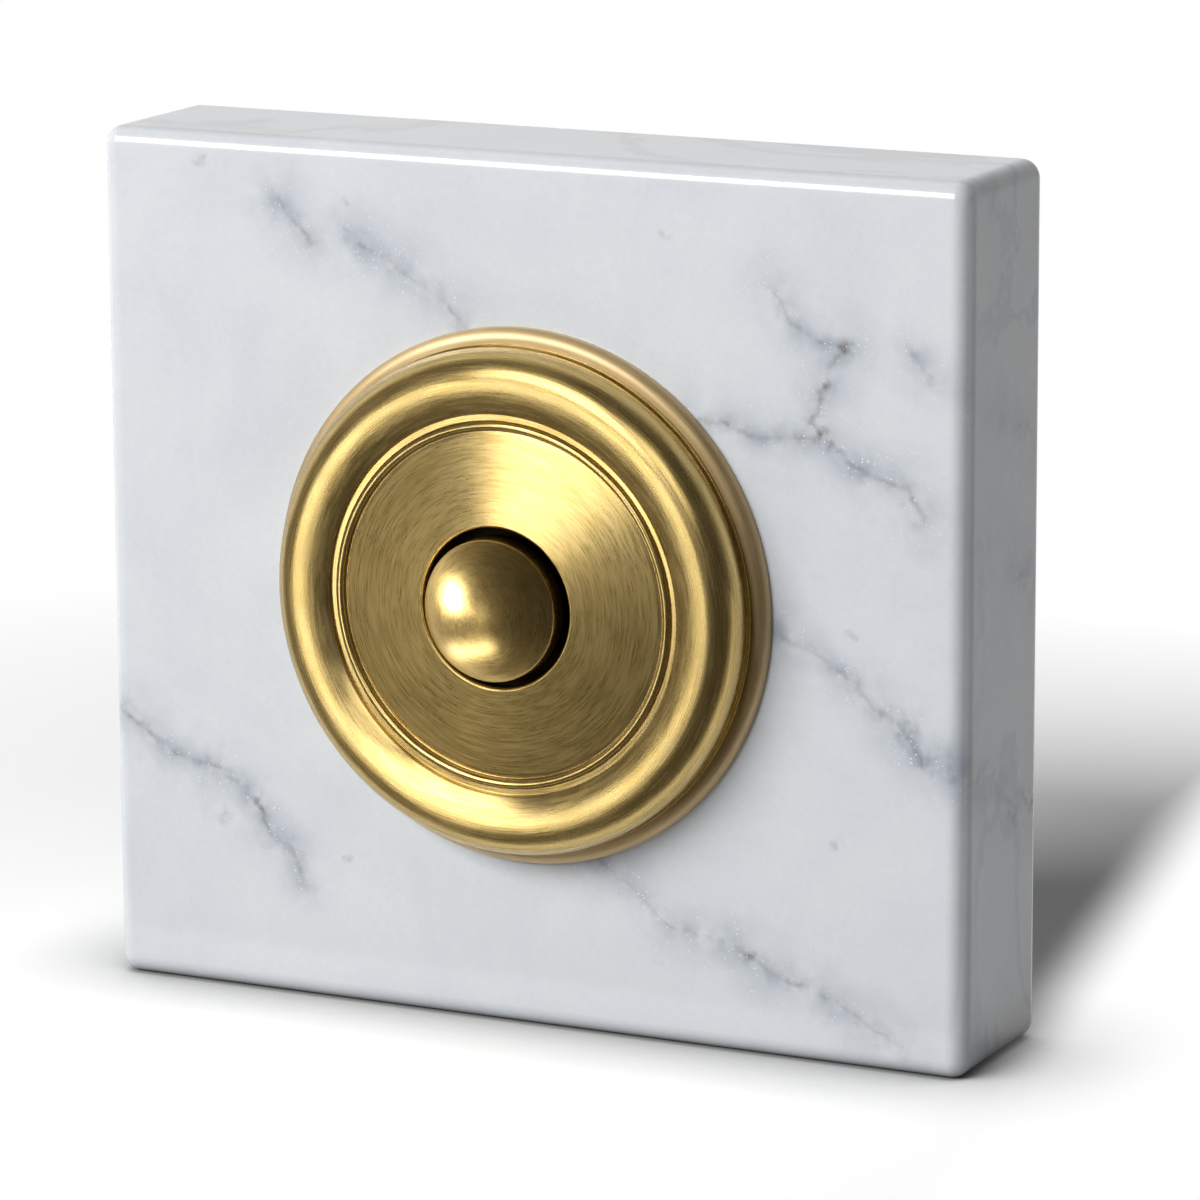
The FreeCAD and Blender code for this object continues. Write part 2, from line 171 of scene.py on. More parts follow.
def lathe(outline, turns, shift=None):
    # the outline carried round the axis; shift moves a point of (radius, height, angle) in or out
    angle = np.linspace(0, 2 * math.pi, turns, endpoint=False)[None, :]
    radius, height = outline[:, :1], outline[:, 1:]
    if shift is not None:
        radius = radius + shift(radius, height, angle)
    return place(radius, height, angle), True, True


def threadDepth(height, angle, low, high, pitch, depth, runOut):
    # a V thread: depth times the triangle wave of height/pitch - angle/2pi, fading in at both ends
    wave = np.abs(((height - low) / pitch - angle / (2 * math.pi)) % 1 * 2 - 1)
    wave = np.clip(1.25 * wave - 0.125, 0, 1)
    fade = np.clip((height - low) / runOut, 0, 1) * np.clip((high - height) / runOut, 0, 1)
    return depth * wave * fade


# Materials: every colour is written as the eye sees it and made linear here

def fromHex(text):
    channels = [int(text[i:i + 2], 16) / 255 for i in (1, 3, 5)]
    linear = [c / 12.92 if c <= 0.04045 else ((c + 0.055) / 1.055) ** 2.4 for c in channels]
    return (*linear, 1.0)


def addNode(tree, kind, settings, inputs, output=0):
    # settings are the node's own; inputs are its sockets, each a value or another node's output
    node = tree.nodes.new("ShaderNode" + kind)
    for key, value in settings.items():
        setattr(node, key, value)
    for key, value in inputs.items():
        if isinstance(value, bpy.types.NodeSocket):
            tree.links.new(value, node.inputs[key])
        else:
            node.inputs[key].default_value = value
    return node.outputs[output] if len(node.outputs) else node


def newTree(owner):
    owner.use_nodes = True
    owner.node_tree.nodes.clear()
    return owner.node_tree


def finishMaterial(tree, shaderInputs):
    surface = addNode(tree, "BsdfPrincipled", {}, shaderInputs)
    addNode(tree, "OutputMaterial", {}, {"Surface": surface})


# A ring noise is (width in tool strokes, steps along the ring, detail). The gap is the one round the
# button, and the depths of the dark shade painted in it are below its mouth.
turning = {"heightShare": 1.3, "ringNoises": ((1, 5.5, 2), (6, 2.0, 3)), "ringRoughness": 0.6, "cloudWidth": 9,
           "streakFrom": 0.32, "streakTo": 0.68, "wearFrom": 0.7, "wearTo": 1.3, "broadRelief": 1.5,
           "bandEase": 0.15, "gapMouth": 6.605, "gapRadius": 8.75, "gapEase": 0.15, "gapShade": "#1C1408",
           "gapShadeFrom": 0.15, "gapShadeTo": 0.8, "gapShadeRough": 0.4, "lacquer": 0.6, "lacquerRough": 0.3}
noiseSpread = {1: 0.3, 2: 0.7}  # most of a noise lies between these values


def turnedBrass(name, look):
    # turned brass: the tool leaves rings about the axis, so a highlight spreads into a wedge
    material = bpy.data.materials.new(name)
    tree = newTree(material)
    here = addNode(tree, "TexCoord", {}, {}, "Object")
    x = addNode(tree, "SeparateXYZ", {}, {0: here}, "X")
    y, z = x.node.outputs["Y"], x.node.outputs["Z"]
    flat = addNode(tree, "CombineXYZ", {}, {"X": x, "Z": z})
    radius = addNode(tree, "VectorMath", {"operation": "LENGTH"}, {0: flat}, "Value")
    around = addNode(tree, "VectorMath", {"operation": "NORMALIZE"}, {0: flat})
    profile = addNode(tree, "Math", {"operation": "MULTIPLY_ADD"}, {0: y, 1: turning["heightShare"], 2: radius})

    # ring noise: its step across the rings is far shorter than its step along them
    rings = []
    for strokes, arcSteps, detail in turning["ringNoises"]:
        along = addNode(tree, "VectorMath", {"operation": "SCALE"}, {0: around, "Scale": arcSteps})
        across = addNode(tree, "Math", {"operation": "DIVIDE"}, {0: profile, 1: look["stroke"] * strokes * mm})
        lift = addNode(tree, "CombineXYZ", {}, {"Y": across})
        point = addNode(tree, "VectorMath", {"operation": "ADD"}, {0: along, 1: lift})
        rings.append(addNode(tree, "TexNoise", {}, {"Vector": point, "Scale": 1.0, "Detail": detail,
                                                    "Roughness": turning["ringRoughness"]}))
    cloud = addNode(tree, "TexNoise", {}, {"Vector": here, "Scale": 1 / (turning["cloudWidth"] * mm),
                                           "Detail": 4})

    # colour: streaks from dark to light, and painted shade: a dark colour down in the gap round the button
    streak = addNode(tree, "MapRange", {}, {0: rings[0], 1: turning["streakFrom"], 2: turning["streakTo"],
                                            3: 0.0, 4: look["streak"]})
    tone = addNode(tree, "Math", {"operation": "ADD"}, {0: streak, 1: rings[1]})
    tone = addNode(tree, "MapRange", {}, {0: tone, 1: noiseSpread[1] + look["streak"] / 3,
                                          2: noiseSpread[2] + look["streak"] * 0.6})
    bright = addNode(tree, "Mix", {"data_type": "RGBA"}, {0: tone, 6: fromHex(look["dark"]),
                                                         7: fromHex(look["light"])}, 2)
    mouth, gapRadius = frontFace - turning["gapMouth"], turning["gapRadius"]
    deep = addNode(tree, "MapRange", {}, {0: y, 1: (mouth + turning["gapShadeFrom"]) * mm,
                                          2: (mouth + turning["gapShadeTo"]) * mm})
    inGap = addNode(tree, "MapRange", {}, {0: radius, 1: gapRadius * mm,
                                           2: (gapRadius - turning["gapEase"]) * mm})
    gapShade = addNode(tree, "Math", {"operation": "MULTIPLY"}, {0: deep, 1: inGap})
    colour = addNode(tree, "Mix", {"data_type": "RGBA"}, {0: gapShade, 6: bright, 7: fromHex(turning["gapShade"])}, 2)

    # roughness and relief follow the same rings, with worn and less worn clouds between them
    wear = addNode(tree, "Math", {"operation": "ADD"}, {0: rings[0], 1: cloud})
    rough = addNode(tree, "MapRange", {}, {0: wear, 1: turning["wearFrom"], 2: turning["wearTo"],
                                           3: look["smooth"], 4: look["rough"]})
    relief = addNode(tree, "Math", {"operation": "MULTIPLY_ADD"},
                     {0: rings[1], 1: turning["broadRelief"], 2: rings[0]})
    ease = turning["bandEase"]
    for inner, outer, change, cutLeft in look["bands"]:  # burnished and duller bands between two radii
        rising = addNode(tree, "MapRange", {}, {0: radius, 1: (inner - ease) * mm, 2: inner * mm})
        falling = addNode(tree, "MapRange", {}, {0: radius, 1: (outer + ease) * mm, 2: outer * mm})
        band = addNode(tree, "Math", {"operation": "MULTIPLY"}, {0: rising, 1: falling})
        rough = addNode(tree, "Math", {"operation": "MULTIPLY_ADD"}, {0: band, 1: change, 2: rough})
        calm = addNode(tree, "MapRange", {}, {0: band, 3: 1.0, 4: cutLeft})
        relief = addNode(tree, "Math", {"operation": "MULTIPLY"}, {0: relief, 1: calm})
    rough = addNode(tree, "Math", {"operation": "MULTIPLY_ADD"}, {0: gapShade, 1: turning["gapShadeRough"], 2: rough})
    normal = addNode(tree, "Bump", {}, {"Strength": look["bump"], "Distance": look["cut"] * mm,
                                        "Height": relief})
    # the tangent runs round the axis, and a quarter turn spreads the highlight across the rings
    tangent = addNode(tree, "Tangent", {"direction_type": "RADIAL", "axis": "Y"}, {})
    # a thin clear lacquer whitens the strongest highlights, but doesn't reach down into the gap
    lacquer = addNode(tree, "MapRange", {}, {0: gapShade, 3: turning["lacquer"], 4: 0.0})
    finishMaterial(tree, {"Metallic": 1.0, "Anisotropic": look["anisotropy"], "Anisotropic Rotation": 0.25,
                          "Base Color": colour, "Roughness": rough, "Normal": normal, "Tangent": tangent,
                          "Coat Weight": lacquer, "Coat Roughness": turning["lacquerRough"]})
    return material


satinTurnedBrass = turnedBrass("satin turned brass", {
    "dark": "#BB9F5A", "light": "#DCBF7A", "smooth": 0.25, "rough": 0.34, "anisotropy": 0.65, "stroke": 0.2,
    "streak": 0.7, "bump": 0.2, "cut": 0.005, "bands": [(18.0, 20.4, -0.06, 0.0), (20.6, 27.0, -0.03, 0.2)]})
satinDomeBrass = turnedBrass("satin turned brass of the dome", {
    "dark": "#BD9F58", "light": "#DABB74", "smooth": 0.26, "rough": 0.34, "anisotropy": 0.3,
    "stroke": 0.2, "streak": 0.5, "bump": 0.2, "cut": 0.004, "bands": []})
# the ring's paler, pinker colour is partly its own brass and partly a painted reflection of the white marble
# round it
polishedTurnedBrass = turnedBrass("polished turned brass", {
    "dark": "#B99F72", "light": "#CDB689", "smooth": 0.52, "rough": 0.6, "anisotropy": 0.3,
    "stroke": 0.25, "streak": 0.3, "bump": 0.12, "cut": 0.004, "bands": []})


def plainMetal(name, look):
    # bar or strip metal as it comes from the machine: cloudy colour, fine scratches in the roughness
    material = bpy.data.materials.new(name)
    tree = newTree(material)
    here = addNode(tree, "TexCoord", {}, {}, "Object")
    drawn = addNode(tree, "Mapping", {}, {"Vector": here, "Scale": look.get("drawn", (1, 1, 1))})
    scratch = addNode(tree, "TexNoise", {}, {"Vector": drawn, "Scale": 1 / (look["grain"] * mm), "Detail": 4,
                                             "Roughness": 0.65})
    cloud = addNode(tree, "TexNoise", {}, {"Vector": here, "Scale": 1 / (2.5 * mm), "Detail": 3})
    tone = addNode(tree, "MapRange", {}, {0: cloud, **noiseSpread})
    colour = addNode(tree, "Mix", {"data_type": "RGBA"}, {0: tone, 6: fromHex(look["dark"]),
                                                         7: fromHex(look["light"])}, 2)
    rough = addNode(tree, "MapRange", {}, {0: scratch, **noiseSpread, 3: look["smooth"], 4: look["rough"]})
    normal = addNode(tree, "Bump", {}, {"Strength": 0.2, "Distance": 0.01 * mm, "Height": scratch})
    finishMaterial(tree, {"Metallic": 1.0, "Base Color": colour, "Roughness": rough, "Normal": normal})
    return material


def mouldedPlastic(name, look):
    # moulded plastic: even colour with a faint flow cloud, and a fine spark-eroded skin
    material = bpy.data.materials.new(name)
    tree = newTree(material)
    here = addNode(tree, "TexCoord", {}, {}, "Object")
    cloud = addNode(tree, "TexNoise", {}, {"Vector": here, "Scale": 1 / (4 * mm), "Detail": 3})
    skin = addNode(tree, "TexNoise", {}, {"Vector": here, "Scale": 1 / (look["grain"] * mm)})
    tone = addNode(tree, "MapRange", {}, {0: cloud, **noiseSpread})
    colour = addNode(tree, "Mix", {"data_type": "RGBA"}, {0: tone, 6: fromHex(look["dark"]),
                                                         7: fromHex(look["light"])}, 2)
    rough = addNode(tree, "MapRange", {}, {0: cloud, **noiseSpread, 3: look["smooth"], 4: look["rough"]})
    normal = addNode(tree, "Bump", {}, {"Strength": 0.2, "Distance": 0.02 * mm, "Height": skin})
    finishMaterial(tree, {"IOR": 1.5, "Base Color": colour, "Roughness": rough, "Normal": normal})
    return material


machinedBrass = plainMetal("machined brass", {
    "dark": "#B7954F", "light": "#D3B269", "smooth": 0.2, "rough": 0.34, "grain": 0.12})
bronzeStrip = plainMetal("rolled phosphor bronze", {
    "dark": "#B07A4E", "light": "#C8946A", "smooth": 0.18, "rough": 0.3, "grain": 0.1, "drawn": (0.08, 1, 1)})
contactSilver = plainMetal("contact silver", {
    "dark": "#CFCBC2", "light": "#E2DFD8", "smooth": 0.15, "rough": 0.3, "grain": 0.2})
springSteel = plainMetal("drawn spring steel", {
    "dark": "#8E8F92", "light": "#A9AAAD", "smooth": 0.18, "rough": 0.32, "grain": 0.15})
brownPhenolic = mouldedPlastic("moulded brown phenolic", {
    "dark": "#33231A", "light": "#402D22", "smooth": 0.3, "rough": 0.42, "grain": 0.15})
naturalNylon = mouldedPlastic("natural nylon", {
    "dark": "#D6D0C2", "light": "#E2DDD1", "smooth": 0.35, "rough": 0.5, "grain": 0.12})

# Veins on the slab's front face. A chain is (fade, points): points are (x, z) from the slab's centre,
# and a fade in millimetres holds the vein back. A speck is (x, z, size), and a waver (wavelength, reach).
# A noise is (wavelength, low, high) and breaks up the part it is named for. A reach is how far a part goes
# from a chain, and a share how much of the halo's or the vein's colour it lays on.
marble = {
    "milk": "#DCDFE2", "cloud": "#D0D4D9", "halo": "#A4ABB8", "vein": "#6A655E", "crystalGlint": "#F2F4F7",
    "wavers": ((7.0, 2.4), (1.8, 0.9)), "slant": (0.35, 0, -0.6),
    "noises": {"halo": (5.0, 0.3, 0.62), "smoke": (2.6, 0.38, 0.66), "grain": (1.2, 0.42, 0.7),
               "core": (1.8, 0.36, 0.62), "mottle": (0.8, 0.3, 0.7)},
    "reaches": {"halo": 6.0, "smoke": 2.6, "grain": 1.8, "core": 0.6},
    "darkShares": {"grain": 0.22, "core": 0.3, "dot": 0.4}, "greyShares": {"halo": 0.42, "smoke": 0.44},
    "cloudWidth": 20, "cloudShare": 0.8, "mottleShare": 0.28, "crystalWidth": 0.55, "polish": (0.1, 0.17),
    "deepWidth": 38, "deepFrom": 0.5, "deepTo": 5.0, "deepShare": 0.5,
    "chains": [
        (0.05, [(-28.5, 39.8), (-26.9, 37.9), (-24.4, 35.3)]),
        (0.15, [(-20.5, 37.2), (-14.1, 33.6), (-7.7, 29.4), (-5.0, 27.0)]),
        (0.10, [(28.6, 34.3), (30.3, 31.5), (32.7, 30.1), (36.8, 29.1)]),
        (0.00, [(36.8, 29.1), (34.6, 27.2), (34.4, 24.5), (32.7, 21.0), (34.4, 19.5)]),
        (0.05, [(34.4, 19.5), (29.1, 18.9), (20.3, 20.4)]),
        (0.00, [(34.4, 19.5), (37.3, 17.5), (39.7, 16.2), (43.1, 15.0), (45.4, 12.1)]),
        (0.30, [(44.0, 28.7), (46.3, 26.4)]),
        (0.05, [(-49.5, -16.6), (-46.4, -18.4), (-42.4, -21.3), (-37.0, -22.1), (-32.6, -25.6)]),
        (0.05, [(-32.6, -25.6), (-30.7, -28.8), (-28.0, -30.4), (-26.6, -33.5)]),
        (0.10, [(27.4, -0.3), (31.1, -2.3), (37.4, -5.6), (39.4, -7.5)]),
        (0.00, [(39.4, -7.5), (43.5, -10.3), (45.2, -12.5), (47.6, -12.1), (49.0, -14.6)]),
        (0.30, [(6.6, -26.1), (9.5, -28.1), (16.8, -33.3), (23.2, -34.5)]),
        (0.05, [(23.2, -34.5), (26.2, -36.2), (30.4, -38.1), (33.7, -38.8), (35.8, -40.2)]),
        (0.25, [(35.8, -40.2), (42.9, -43.7)]),
    ],
    "specks": [(-20.2, 40.2, 0.8), (-37.8, 43.5, 0.7), (36.8, 29.1, 1.1), (34.4, 24.5, 1.2),
               (34.4, 19.5, 1.1), (16.2, 38.8, 0.6), (-36.1, -27.4, 0.9), (-32.6, -25.6, 1.2),
               (43.5, -10.3, 1.1), (45.6, -13.4, 0.9), (15.5, -37.5, 0.5), (35.6, -23.1, 0.7), (37.5, -0.7, 0.7),
               (-21.5, -30.4, 0.6), (26.2, -36.2, 0.9)],
}


def makeMarble():
    # polished Carrara: milky calcite, blue-grey clouds about thin broken veins, and crystals whose sparkle is a
    # painted glint
    material = bpy.data.materials.new("polished Carrara marble")
    tree = newTree(material)
    here = addNode(tree, "TexCoord", {}, {}, "Object")

    # the pattern's plane in millimetres, bent by two noises so that the chains waver
    bent = addNode(tree, "VectorMath", {"operation": "SCALE"}, {0: here, "Scale": 1 / mm})
    for wavelength, reach in marble["wavers"]:
        wave = addNode(tree, "TexNoise", {}, {"Vector": here, "Scale": 1 / (wavelength * mm), "Detail": 2}, 1)
        wave = addNode(tree, "VectorMath", {"operation": "SUBTRACT"}, {0: wave, 1: (0.5, 0.5, 0.5)})
        bent = addNode(tree, "VectorMath", {"operation": "MULTIPLY_ADD"}, {0: wave, 1: (reach,) * 3, 2: bent})
    # a vein runs into the stone aslant: its place slides down and right with the depth
    y = addNode(tree, "SeparateXYZ", {}, {0: here}, "Y")
    depth = addNode(tree, "Math", {"operation": "MULTIPLY_ADD"}, {0: y, 1: 1 / mm, 2: -frontFace})
    slide = addNode(tree, "VectorMath", {"operation": "SCALE"}, {0: marble["slant"], "Scale": depth})
    bent = addNode(tree, "VectorMath", {"operation": "SUBTRACT"}, {0: bent, 1: slide})
    plane = addNode(tree, "VectorMath", {"operation": "MULTIPLY"}, {0: bent, 1: (1, 0, 1)})

    # distance to each stretch A to B: |p - A - t (B - A)| with t = (p - A).(B - A) / |B - A|^2 held to 0..1
    nearest = 100.0
    for fade, points in marble["chains"]:
        for (ax, az), (bx, bz) in zip(points, points[1:]):
            run = (bx - ax, 0, bz - az)
            squared = run[0] ** 2 + run[2] ** 2
            share = (run[0] / squared, 0, run[2] / squared)
            fromA = addNode(tree, "VectorMath", {"operation": "SUBTRACT"}, {0: plane, 1: (ax, 0, az)})
            t = addNode(tree, "VectorMath", {"operation": "DOT_PRODUCT"}, {0: fromA, 1: share}, "Value")
            t = addNode(tree, "Math", {"operation": "ADD", "use_clamp": True}, {0: t, 1: 0.0})
            along = addNode(tree, "VectorMath", {"operation": "SCALE"}, {0: run, "Scale": t})
            away = addNode(tree, "VectorMath", {"operation": "DISTANCE"}, {0: fromA, 1: along}, "Value")
            away = addNode(tree, "Math", {"operation": "ADD"}, {0: away, 1: fade})
            nearest = addNode(tree, "Math", {"operation": "MINIMUM"}, {0: away, 1: nearest})
    speck = 100.0
    for px, pz, size in marble["specks"]:
        away = addNode(tree, "VectorMath", {"operation": "DISTANCE"}, {0: plane, 1: (px, 0, pz)}, "Value")
        away = addNode(tree, "Math", {"operation": "DIVIDE"}, {0: away, 1: size})
        speck = addNode(tree, "Math", {"operation": "MINIMUM"}, {0: away, 1: speck})

    # deeper in the stone, on its sides and back, faint veins lie where a broad noise crosses its middle
    broad = addNode(tree, "TexNoise", {}, {"Vector": here, "Scale": 1 / (marble["deepWidth"] * mm),
                                           "Detail": 5, "Roughness": 0.55, "Distortion": 0.8})
    ridge = addNode(tree, "Math", {"operation": "SUBTRACT"}, {0: broad, 1: 0.5})
    ridge = addNode(tree, "Math", {"operation": "ABSOLUTE"}, {0: ridge})
    ridge = addNode(tree, "MapRange", {"interpolation_type": "SMOOTHSTEP"}, {0: ridge, 1: 0.045, 2: 0.0})
    inside = addNode(tree, "MapRange", {}, {0: depth, 1: marble["deepFrom"], 2: marble["deepTo"], 3: 0.0,
                                            4: marble["deepShare"]})
    ridge = addNode(tree, "Math", {"operation": "MULTIPLY"}, {0: ridge, 1: inside})

    # how much of each part there is at a point, broken by the part's own noise; a dot takes the grain's
    breaks = {}
    for part, (wavelength, low, high) in marble["noises"].items():
        spread = addNode(tree, "TexNoise", {}, {"Vector": here, "Scale": 1 / (wavelength * mm), "Detail": 2})
        breaks[part] = addNode(tree, "MapRange", {}, {0: spread, 1: low, 2: high})
    amounts = {}
    for part, reach in marble["reaches"].items():
        near = addNode(tree, "MapRange", {"interpolation_type": "SMOOTHSTEP"}, {0: nearest, 1: reach, 2: 0.0})
        amounts[part] = addNode(tree, "Math", {"operation": "MULTIPLY"}, {0: near, 1: breaks[part]})
    dot = addNode(tree, "MapRange", {"interpolation_type": "SMOOTHSTEP"}, {0: speck, 1: 1.6, 2: 0.2})
    amounts["dot"] = addNode(tree, "Math", {"operation": "MULTIPLY"}, {0: dot, 1: breaks["grain"]})
    dark, grey = 0.0, ridge
    for part, share in marble["darkShares"].items():
        dark = addNode(tree, "Math", {"operation": "MULTIPLY_ADD"}, {0: amounts[part], 1: share, 2: dark})
    for part, share in marble["greyShares"].items():
        grey = addNode(tree, "Math", {"operation": "MULTIPLY_ADD"}, {0: amounts[part], 1: share, 2: grey})

    # milk and cloud, then the halo, the vein and last the crystals near it, painted brighter as glints
    cloud = addNode(tree, "TexNoise", {}, {"Vector": here, "Scale": 1 / (marble["cloudWidth"] * mm),
                                           "Detail": 6, "Roughness": 0.66, "Distortion": 0.4})
    cloud = addNode(tree, "MapRange", {}, {0: cloud, 1: 0.35, 2: 0.68, 3: 0.0, 4: marble["cloudShare"]})
    cloud = addNode(tree, "Math", {"operation": "MULTIPLY_ADD"},
                    {0: breaks["mottle"], 1: marble["mottleShare"], 2: cloud})
    colour = addNode(tree, "Mix", {"data_type": "RGBA"}, {0: cloud, 6: fromHex(marble["milk"]),
                                                         7: fromHex(marble["cloud"])}, 2)
    for share, layer in ((grey, marble["halo"]), (dark, marble["vein"])):
        colour = addNode(tree, "Mix", {"data_type": "RGBA"}, {0: share, 6: colour, 7: fromHex(layer)}, 2)
    cell = addNode(tree, "TexVoronoi", {}, {"Vector": here, "Scale": 1 / (marble["crystalWidth"] * mm)},
                   "Distance")
    crystalGlint = addNode(tree, "MapRange", {}, {0: cell, 1: 0.2, 2: 0.12})
    glint = addNode(tree, "MapRange", {}, {0: amounts["halo"], 3: 0.3})
    crystalGlint = addNode(tree, "Math", {"operation": "MULTIPLY"}, {0: crystalGlint, 1: glint})
    crystalGlint = addNode(tree, "Math", {"operation": "MULTIPLY"}, {0: crystalGlint, 1: breaks["core"]})
    bright = fromHex(marble["crystalGlint"])
    colour = addNode(tree, "Mix", {"data_type": "RGBA"}, {0: crystalGlint, 6: colour, 7: bright}, 2)
    smooth, rough = marble["polish"]
    rough = addNode(tree, "MapRange", {}, {0: breaks["mottle"], 3: smooth, 4: rough})
    finishMaterial(tree, {"IOR": 1.6, "Base Color": colour, "Roughness": rough})
    return material


carraraMarble = makeMarble()
print("materials made")


# The slab

slab = {"edgeRadius": 2.0, "chamberRadius": 12.0, "chamberDepth": 13.0, "wireBoreRadius": 6.0,
        "fixingCircle": 17.5, "wallHoleRadius": 2.5, "insertHoleRadius": 2.5, "insertHoleDepth": 8.1,
        "faceCircle": 21.0, "quarterSteps": 48, "bendSteps": 10, "sideRows": 8, "endMargin": 0.03}


def quarterAngles(steps):
    # from -45 to 45 degrees
    return np.linspace(-math.pi / 4, math.pi / 4, steps + 1)


def fullTurn(steps):
    # the angles of the four quarters, one after another
    return np.concatenate([quarterAngles(steps)[:-1] + quarter * math.pi / 2 for quarter in range(4)])[None]


def quarterBorder(inner, outer, steps, sideSteps=10):
    # outer arc, side, inner arc, side of a quarter ring whose middle lies on +X, as points (x, z)
    angle = quarterAngles(steps)
    arcs = np.column_stack([np.cos(angle), np.sin(angle)])
    side = np.linspace(outer, inner, sideSteps + 1)[1:-1, None]
    return np.concatenate([outer * arcs, side * arcs[-1], inner * arcs[::-1], side[::-1] * arcs[0]])


def turnFlat(points, quarter):
    # points (x, z) turned by quarters of a turn
    turn = quarter * math.pi / 2
    return points @ np.array([[math.cos(turn), math.sin(turn)], [-math.sin(turn), math.cos(turn)]])


def drilledQuarter(inner, outer, holeCircle, holeRadius, height, quarter, steps):
    # straight lines from the hole's edge to the quarter ring's border: hole + s (border - hole)
    border = quarterBorder(inner, outer, steps)
    fromCentre = border - np.array([holeCircle, 0])
    hole = np.array([holeCircle, 0]) + holeRadius * fromCentre / np.linalg.norm(fromCentre, axis=1)[:, None]
    share = np.array([0, 0.02, 0.5, 1])[:, None, None]
    flat = turnFlat((hole + share * (border - hole)).reshape(-1, 2), quarter).reshape(4, -1, 2)
    return np.stack([flat[..., 0], np.full(flat.shape[:2], frontFace - height), flat[..., 1]], -1)


def plainQuarter(inner, outer, height, quarter, steps, sideSteps=10):
    # a quarter ring on a grid of radius and angle
    radius = np.linspace(inner, outer, sideSteps + 1)[:, None]
    return place(radius, height, (quarterAngles(steps) + quarter * math.pi / 2)[None])


def ringAbout(ring, centre, radius, height):
    # the ring's points moved to another radius about the hole's centre, and to another height
    flat = ring[:, [0, 2]] - centre
    flat = centre + radius * flat / np.linalg.norm(flat, axis=1)[:, None]
    return np.column_stack([flat[:, 0], np.full(len(flat), frontFace - height), flat[:, 1]])


def slabRim(flatX, flatZ, thickness):
    # inner rectangle + rho(v) times the outward direction, with y from the rounded section
    steps, radius, margin = slab["quarterSteps"], slab["edgeRadius"], slab["endMargin"]
    sweep = np.radians(np.linspace(0, 90, slab["bendSteps"] + 1))
    inner = sweep[1:-1]
    side = np.column_stack([np.ones(steps + 1), np.linspace(-1, 1, steps + 1)])
    corner = np.ones((len(inner), 2))
    straight = np.repeat([[1.0, 0.0]], steps + 1, 0)
    bend = np.column_stack([np.cos(inner), np.sin(inner)])
    loop, out = [], []
    for quarter in range(4):
        loop += [turnFlat(side, quarter), turnFlat(corner, quarter)]
        out += [turnFlat(straight, quarter), turnFlat(bend, quarter)]
    loop, out = np.concatenate(loop) * (flatX, flatZ), np.concatenate(out)
    rho = np.concatenate([radius * np.sin(sweep), [radius] * slab["sideRows"], radius * np.cos(sweep)])
    level = np.linspace(radius + margin, thickness - radius - margin, slab["sideRows"])
    depth = np.concatenate([radius - radius * np.cos(sweep), level,
                            thickness - radius + radius * np.sin(sweep)])
    flat = loop[None] + rho[:, None, None] * out[None]
    y = np.broadcast_to(frontFace + depth[:, None], flat.shape[:2])
    return np.stack([flat[..., 0], y, flat[..., 1]], -1), False, True


def slabFace(flatX, flatZ, height, bore, holed):
    # from the face circle out to the rectangle: circle + s (edge - circle), and plain quarters inside it
    steps, surfaces = slab["quarterSteps"], []
    along = np.linspace(-1, 1, steps + 1)
    share = np.concatenate([np.linspace(0, 0.997, 9), [1]])[:, None, None]
    for quarter in range(4):
        angle = quarterAngles(steps)
        circle = turnFlat(slab["faceCircle"] * np.column_stack([np.cos(angle), np.sin(angle)]), quarter)
        edge = turnFlat(np.column_stack([np.ones(steps + 1), along]), quarter) * (flatX, flatZ)
        patch = circle + share * (edge - circle)
        y = np.full(patch.shape[:2], frontFace - height)
        surfaces.append((np.stack([patch[..., 0], y, patch[..., 1]], -1), False, False))
        if quarter not in holed:
            surfaces.append((plainQuarter(bore, slab["faceCircle"], height, quarter, steps), False, False))
    return surfaces


def makeSlab():
    steps, thickness = slab["quarterSteps"], (slabHigh.y - slabLow.y) / mm
    flatX, flatZ = slabHigh.x / mm - slab["edgeRadius"], slabHigh.z / mm - slab["edgeRadius"]
    surfaces = [slabRim(flatX, flatZ, thickness)]
    surfaces += slabFace(flatX, flatZ, 0, slab["chamberRadius"], (0, 1, 2, 3))
    surfaces += slabFace(flatX, flatZ, -thickness, slab["wireBoreRadius"], (0, 2))
    for quarter in range(4):
        centre = turnFlat(np.array([[slab["fixingCircle"], 0.0]]), quarter)[0]
        front = drilledQuarter(slab["chamberRadius"], slab["faceCircle"], slab["fixingCircle"],
                               slab["wallHoleRadius"], 0, quarter, steps)
        surfaces.append((front, False, True))
        if quarter in (0, 2):  # the wall screws' holes go right through
            back = drilledQuarter(slab["wireBoreRadius"], slab["faceCircle"], slab["fixingCircle"],
                                  slab["wallHoleRadius"], -thickness, quarter, steps)
            surfaces += [(back, False, True), (np.stack([front[0], back[0]]), False, True)]
        else:  # the inserts' holes are blind
            end = ringAbout(front[0], centre, slab["insertHoleRadius"], -slab["insertHoleDepth"])
            middle = ringAbout(front[0], centre, 1e-9, -slab["insertHoleDepth"])
            surfaces.append((np.stack([front[0], end, middle]), False, True))
    chamberRadius, boreRadius, floor = slab["chamberRadius"], slab["wireBoreRadius"], -slab["chamberDepth"]
    chamber = np.array([[chamberRadius, 0], [chamberRadius, floor], [boreRadius, floor],
                        [boreRadius, -thickness]])
    surfaces.append((place(chamber[:, :1], chamber[:, 1:], fullTurn(steps)), False, True))
    dress(makePiece("marble_slab", surfaces), carraraMarble, "marble_plate", "base")


makeSlab()
print("slab made")


# Base ring: flange, threaded collar and four countersunk holes

